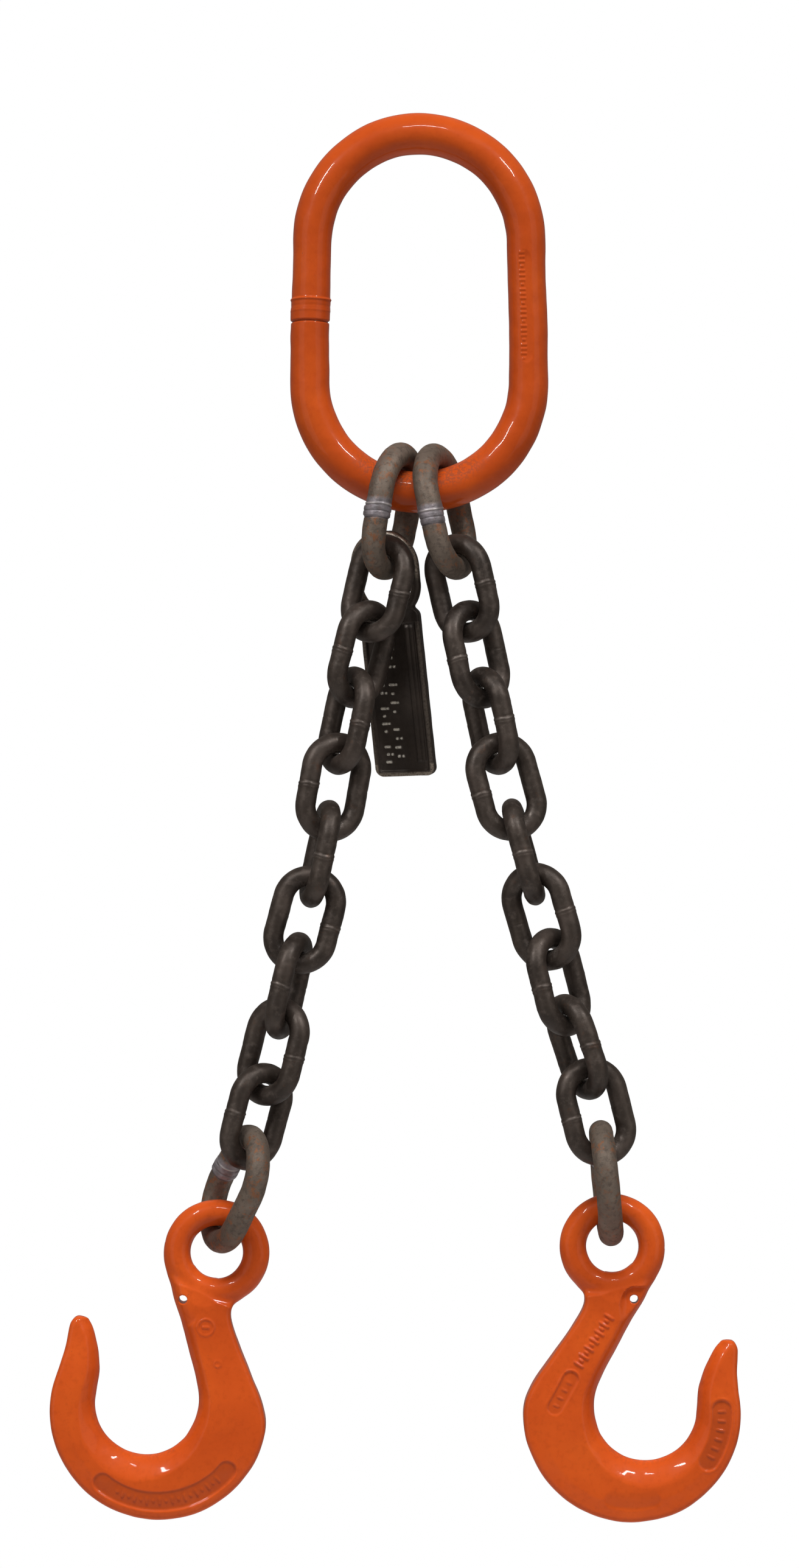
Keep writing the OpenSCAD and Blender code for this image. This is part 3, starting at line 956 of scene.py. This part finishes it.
def tag_field(x, z):
    wire = TAG["wire"]
    path = from_tag_ring(x, z)
    top, bottom = -(TAG["ring"][1] + wire) / 2 + 3, -TAG["l"]
    mid, tall = (top + bottom) / 2, (top - bottom) / 2
    r = TAG["corner"]
    qx, qz = np.abs(x) - TAG["w"] / 2 + r, np.abs(z - mid) - tall + r
    plan = np.hypot(np.maximum(qx, 0), np.maximum(qz, 0)) + np.minimum(np.maximum(qx, qz), 0) - r
    floor = smooth((-plan - TAG["rim"]) / 0.7) * smooth((-22 - z) / 1.2)
    ridge_bar = smooth((2.6 - np.abs(x - 9.2)) / 0.8) * smooth((z + 88) / 1.5) * smooth((-23 - z) / 2)
    groove = ridge(x - 9.2, 0.5) * ridge_bar
    marks = mark_cover(x, z, 0.35, 0.6)
    thick = TAG["t"] / 2
    front = thick - TAG["pocket"] * floor + 0.75 * ridge_bar - 0.35 * groove + 0.6 * marks * floor
    rear = thick - TAG["pocket"] * floor
    edge = 0.9

    def at(y):
        top_at = np.where(y < 0, front, rear)
        qy = np.abs(y) - top_at + edge
        qp = plan + edge
        plate = np.hypot(np.maximum(qp, 0), np.maximum(qy, 0)) + np.minimum(np.maximum(qp, qy), 0) - edge
        ring = np.hypot(path, y) - wire / 2
        return blend_min(plate, ring, 2.0)

    return at


def make_tag():
    points, quads = surface_net(tag_field, (-18.5, -3.6, -95), (18.5, 3.6, 20), 0.36, 2)
    x, y, z = points.T
    plan = np.maximum(np.abs(x) - TAG["w"] / 2, -TAG["l"] - z)
    rim = smooth((plan + 2.2) / 0.8) * smooth((np.abs(y) - 1.2) / 0.6) * (z < -22)
    marks = mark_cover(x, z, 0.4, 0.4) * (y < -1)
    path = from_tag_ring(x, z)
    hole_edge = ridge(path + 1.9, 0.8) * (y < 0.5)
    # Painted highlight along the ring's upper outer edge, on the front.
    crown_highlight = ridge(path - 1.6, 0.9) * (y < 0) * smooth((z + 4) / 6)
    # Bright worn metal on the rim and round the ring's hole, and the painted highlight on the ring's crown.
    rub = np.clip(0.6 * rim * (z < -88) + 0.2 * rim + 0.6 * hole_edge + crown_highlight, 0, 1)
    uneven = points + 0.04 * np.stack([lumps(points, 60 + k, 9) for k in range(3)], axis=-1)
    turn = turn_y(TAG_TURN[1]) @ turn_x(TAG_TURN[0]) @ turn_z(TAG_TURN[2])
    piece = make_piece(
        "tag_plate", uneven, quads, np.array(TAG_AT), turn, TAG_STEEL, {"rub": rub, "mark": marks}
    )
    place(piece, "tag")


# ---------------------------------------------------------------------------
# Build
# ---------------------------------------------------------------------------

master_link()
hooks = {}
for which, leg in LEGS.items():
    spots, eye = lay_out(leg)
    for i, spot in enumerate(spots):
        roll = leg["rolls"][i]
        seed = i + (40 if which == "right" else 0)
        if i in (0, LAST):
            name = f"{which}_coupling_{'top' if i == 0 else 'bottom'}"
            coupling_link(name, spot, 1 if roll >= 90 else -1, 1 if i == 0 else -1, seed)
        else:
            chain_link(f"{which}_link_{i}", spot, -1 if roll > 0 else 1, seed)
    flip = turn_z(180) if which == "left" else np.eye(3)
    hooks[f"{which}_hook"] = (eye, turn_y(-leg["hook_lean"]) @ flip)
make_hooks(hooks)
make_tag()

# ---------------------------------------------------------------------------
# Floor, light and camera
# ---------------------------------------------------------------------------

FLOOR_Z = -0.95
FLOOR_R = 3.0
AIM = (0, 0, -0.35)  # where every light points
WARM = (1, 0.94, 0.88)


def make_floor():
    mesh = bpy.data.meshes.new("floor")
    n = 96
    turns = [2 * math.pi * k / n for k in range(n)]
    ring = [(FLOOR_R * math.cos(a), FLOOR_R * math.sin(a), FLOOR_Z) for a in turns]
    mesh.from_pydata([(0, 0, FLOOR_Z)] + ring, [], [(0, k + 1, (k + 1) % n + 1) for k in range(n)])
    g = Graph("floor")
    g.finish(Base_Color=(0.86, 0.86, 0.86, 1), Roughness=0.9, Specular_IOR_Level=0.1)
    fade = g.node("ShaderNodeVectorMath", {0: g.coords}, operation="LENGTH").outputs["Value"]
    clear = g.node("ShaderNodeBsdfTransparent").outputs[0]
    mix = g.node("ShaderNodeMixShader")
    g.put(mix.inputs[0], g.span(fade, 0.5, 1.85))
    g.put(mix.inputs[1], g.shader.outputs[0])
    g.put(mix.inputs[2], clear)
    g.put(g.tree.nodes["Material Output"].inputs["Surface"], mix.outputs[0])
    mesh.materials.append(g.material)
    floor = bpy.data.objects.new("floor", mesh)
    bpy.context.scene.collection.objects.link(floor)


def area_light(name, at, size, power, colour=(1, 1, 1), mirrored=True, lights=True):
    """mirrored: it is seen in reflections. lights: it lights matt surfaces."""
    lamp = bpy.data.lights.new(name, "AREA")
    lamp.shape = "RECTANGLE"
    lamp.size, lamp.size_y = size
    lamp.energy = power
    lamp.color = colour
    o = bpy.data.objects.new(name, lamp)
    o.location = at
    o.visible_glossy = mirrored
    o.visible_diffuse = lights
    o.rotation_mode = "QUATERNION"
    o.rotation_quaternion = (Vector(AIM) - Vector(at)).to_track_quat("-Z", "Y")
    bpy.context.scene.collection.objects.link(o)


def make_world():
    world = bpy.data.worlds.new("studio")
    world.use_nodes = True
    tree = world.node_tree
    seen = tree.nodes["Background"]
    seen.inputs["Color"].default_value = (1, 1, 1, 1)
    seen.inputs["Strength"].default_value = 1.0
    lit = tree.nodes.new("ShaderNodeBackground")
    lit.inputs["Color"].default_value = (1.0, 0.93, 0.86, 1)
    lit.inputs["Strength"].default_value = 0.17
    path = tree.nodes.new("ShaderNodeLightPath")
    mix = tree.nodes.new("ShaderNodeMixShader")
    tree.links.new(path.outputs["Is Camera Ray"], mix.inputs[0])
    tree.links.new(lit.outputs[0], mix.inputs[1])
    tree.links.new(seen.outputs[0], mix.inputs[2])
    tree.links.new(mix.outputs[0], tree.nodes["World Output"].inputs["Surface"])
    bpy.context.scene.world = world


def make_camera():
    data = bpy.data.cameras.new("camera")
    away, seen_height = 2.4, 0.7175
    data.sensor_width = 36
    data.lens = data.sensor_width * away / seen_height
    data.clip_start, data.clip_end = 0.05, 50
    camera = bpy.data.objects.new("camera", data)
    camera.location = (-0.009, -away, -0.288)
    camera.rotation_euler = (math.pi / 2, 0, 0)
    bpy.context.scene.collection.objects.link(camera)
    bpy.context.scene.camera = camera


make_floor()
make_world()
make_camera()
area_light("key", (0.0, -1.7, 3.1), (2.6, 1.4), 136, mirrored=False)
area_light("top_left", (-0.75, -1.0, 0.55), (0.09, 0.32), 7.0, lights=False)
area_light("top_right", (0.75, -0.95, 0.70), (0.09, 0.32), 7.0, lights=False)
area_light("top_middle", (0.05, -1.1, 0.95), (0.30, 0.07), 3.0, lights=False)
area_light("side_left", (-2.1, -1.7, -0.3), (1.6, 2.0), 5, WARM)
area_light("side_right", (2.1, -1.7, -0.3), (1.6, 2.0), 5, WARM)
area_light("rear", (0.0, 2.3, 1.7), (1.8, 1.2), 26, mirrored=False)
bpy.context.scene.view_settings.view_transform = "Standard"
